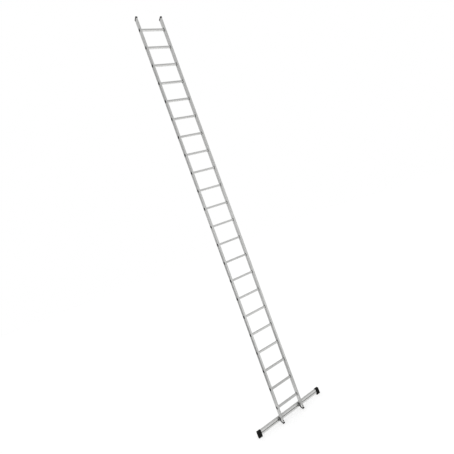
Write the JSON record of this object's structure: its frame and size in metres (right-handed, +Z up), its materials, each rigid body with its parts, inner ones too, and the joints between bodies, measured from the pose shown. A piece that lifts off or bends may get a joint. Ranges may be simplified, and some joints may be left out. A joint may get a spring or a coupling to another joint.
{
  "type": "single section ladder",
  "caption": "Straight aluminium ladder: box stiles, square rungs flared into them, black end caps, and a slotted stabiliser bar on rubber feet clamped across the base.",
  "frame": {"origin": "on the floor under the middle of the ladder's box, with both bar feet standing on Z = 0", "axes": "+X across the ladder to the climber's right, +Y to the wall that the ladder leans on, +Z up along the stiles"},
  "size_m": [1.19, 0.1204, 6.308],
  "materials": {
    "stile_aluminium": "mill-finish extrusion, drawn lines along its length",
    "rung_aluminium": "mill-finish ribbed extrusion, lightly scuffed on top",
    "bar_aluminium": "mill-finish extrusion",
    "cap_plastic": "moulded black, fine grain",
    "saddle_plastic": "moulded dark grey, fine grain",
    "foot_rubber": "black, dull",
    "zinc_steel": "zinc plated",
    "black_steel": "blackened, dull"
  },
  "bodies": {
    "ladder": {"left_stile": "stile_aluminium", "right_stile": "stile_aluminium", "rung_01": "rung_aluminium", "rung_02": "rung_aluminium", "rung_03": "rung_aluminium", "rung_04": "rung_aluminium", "rung_05": "rung_aluminium", "rung_06": "rung_aluminium", "rung_07": "rung_aluminium", "rung_08": "rung_aluminium", "rung_09": "rung_aluminium", "rung_10": "rung_aluminium", "rung_11": "rung_aluminium", "rung_12": "rung_aluminium", "rung_13": "rung_aluminium", "rung_14": "rung_aluminium", "rung_15": "rung_aluminium", "rung_16": "rung_aluminium", "rung_17": "rung_aluminium", "rung_18": "rung_aluminium", "rung_19": "rung_aluminium", "rung_20": "rung_aluminium", "rung_21": "rung_aluminium", "rung_22": "rung_aluminium", "top_cap_left": "cap_plastic", "top_cap_right": "cap_plastic", "bottom_cap_left": "cap_plastic", "bottom_cap_right": "cap_plastic", "rung_plugs_left": "cap_plastic", "rung_plugs_right": "cap_plastic", "bar_saddle_left": "saddle_plastic", "bar_saddle_right": "saddle_plastic", "clamp_plate_left": "zinc_steel", "clamp_plate_right": "zinc_steel", "clamp_bolts": "black_steel", "bolt_washers": "zinc_steel", "slot_nuts": "zinc_steel", "plate_bolts": "black_steel"},
    "bar": {"stabiliser_bar": "bar_aluminium", "bar_foot_left": "foot_rubber", "bar_foot_right": "foot_rubber"}
  },
  "joints": [
    {"name": "bar_slide", "type": "slide", "parent": "ladder", "child": "bar", "axis": [1, 0, 0], "range_m": [-0.29, 0.29]}
  ]
}
